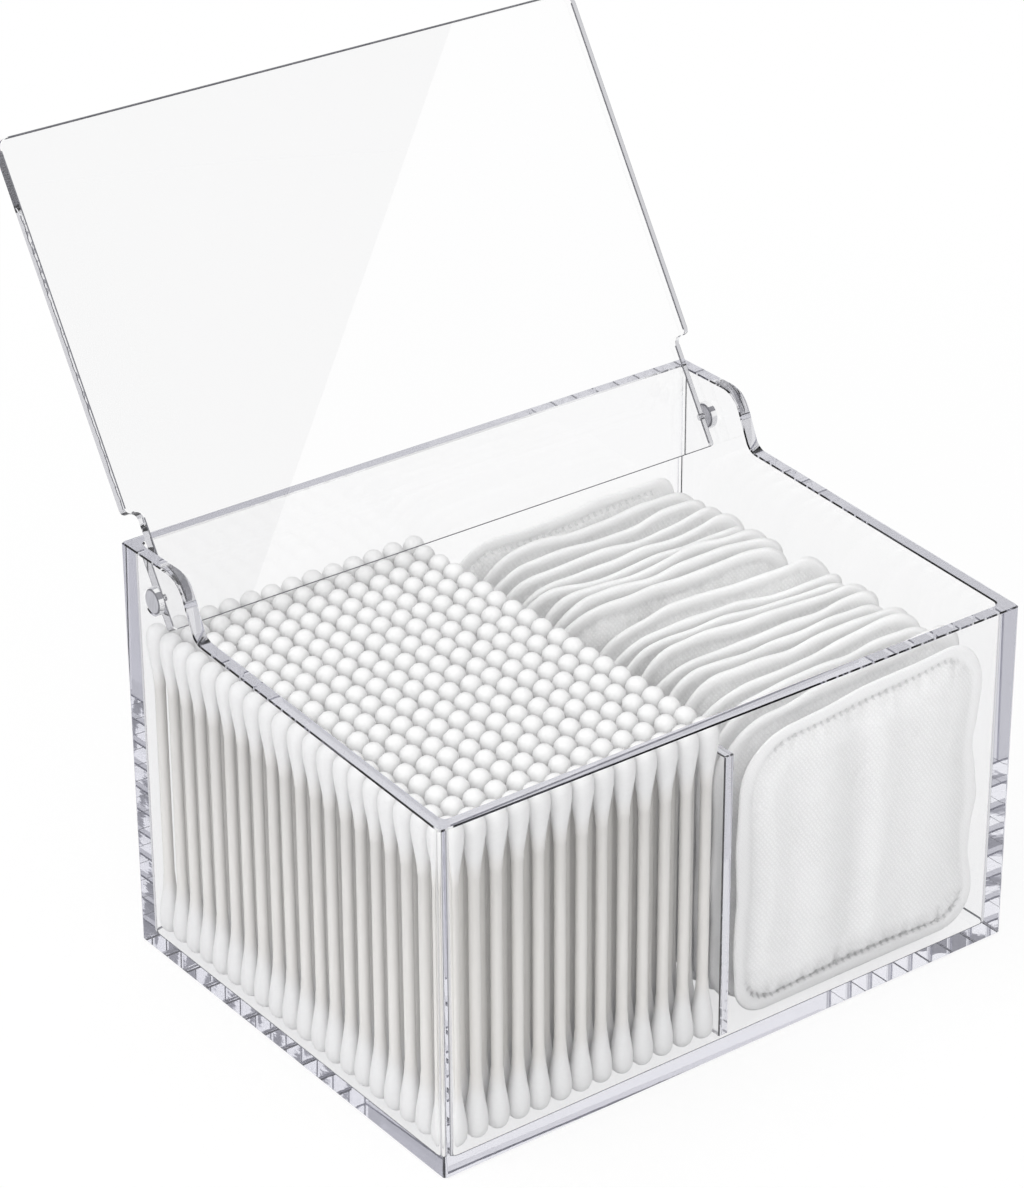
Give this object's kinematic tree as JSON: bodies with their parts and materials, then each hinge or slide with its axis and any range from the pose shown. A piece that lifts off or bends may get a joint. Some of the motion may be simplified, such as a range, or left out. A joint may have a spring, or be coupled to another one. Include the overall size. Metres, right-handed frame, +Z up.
{
  "type": "cotton swab dispenser",
  "caption": "Clear divided countertop box with a hinged lid that leans open, packed with upright cotton swabs on one side and square cotton pads on the other.",
  "frame": {"origin": "middle of the tray's underside, on the table", "axes": "+X to the right and +Y to the back as seen from the front, +Z up; the lid is hinged at the back"},
  "size_m": [0.145, 0.15, 0.1671],
  "materials": {
    "tray_acrylic": "polished clear acrylic",
    "divider_acrylic": "polished clear acrylic",
    "lid_acrylic": "polished clear acrylic",
    "pin_acrylic": "clear acrylic",
    "swab_cotton": "soft white cotton on paper sticks",
    "pad_cotton": "soft white nonwoven cotton"
  },
  "bodies": {
    "tray_body": {"tray": "tray_acrylic", "divider": "divider_acrylic", "hinge_pin_left": "pin_acrylic", "hinge_pin_right": "pin_acrylic", "swab_row_01": "swab_cotton", "swab_row_02": "swab_cotton", "swab_row_03": "swab_cotton", "swab_row_04": "swab_cotton", "swab_row_05": "swab_cotton", "swab_row_06": "swab_cotton", "swab_row_07": "swab_cotton", "swab_row_08": "swab_cotton", "swab_row_09": "swab_cotton", "swab_row_10": "swab_cotton", "swab_row_11": "swab_cotton", "swab_row_12": "swab_cotton", "swab_row_13": "swab_cotton", "cotton_pad_01": "pad_cotton", "cotton_pad_02": "pad_cotton", "cotton_pad_03": "pad_cotton", "cotton_pad_04": "pad_cotton", "cotton_pad_05": "pad_cotton", "cotton_pad_06": "pad_cotton", "cotton_pad_07": "pad_cotton", "cotton_pad_08": "pad_cotton", "cotton_pad_09": "pad_cotton", "cotton_pad_10": "pad_cotton", "cotton_pad_11": "pad_cotton", "cotton_pad_12": "pad_cotton", "cotton_pad_13": "pad_cotton", "cotton_pad_14": "pad_cotton", "cotton_pad_15": "pad_cotton", "cotton_pad_16": "pad_cotton", "cotton_pad_17": "pad_cotton", "cotton_pad_18": "pad_cotton", "cotton_pad_19": "pad_cotton", "cotton_pad_20": "pad_cotton"},
    "lid_body": {"lid": "lid_acrylic"}
  },
  "joints": [
    {"name": "lid_hinge", "type": "hinge", "parent": "tray_body", "child": "lid_body", "pos_m": [0, 0.0431, 0.08472], "axis": [1, 0, 0], "range_deg": [0, 125.2]}
  ]
}
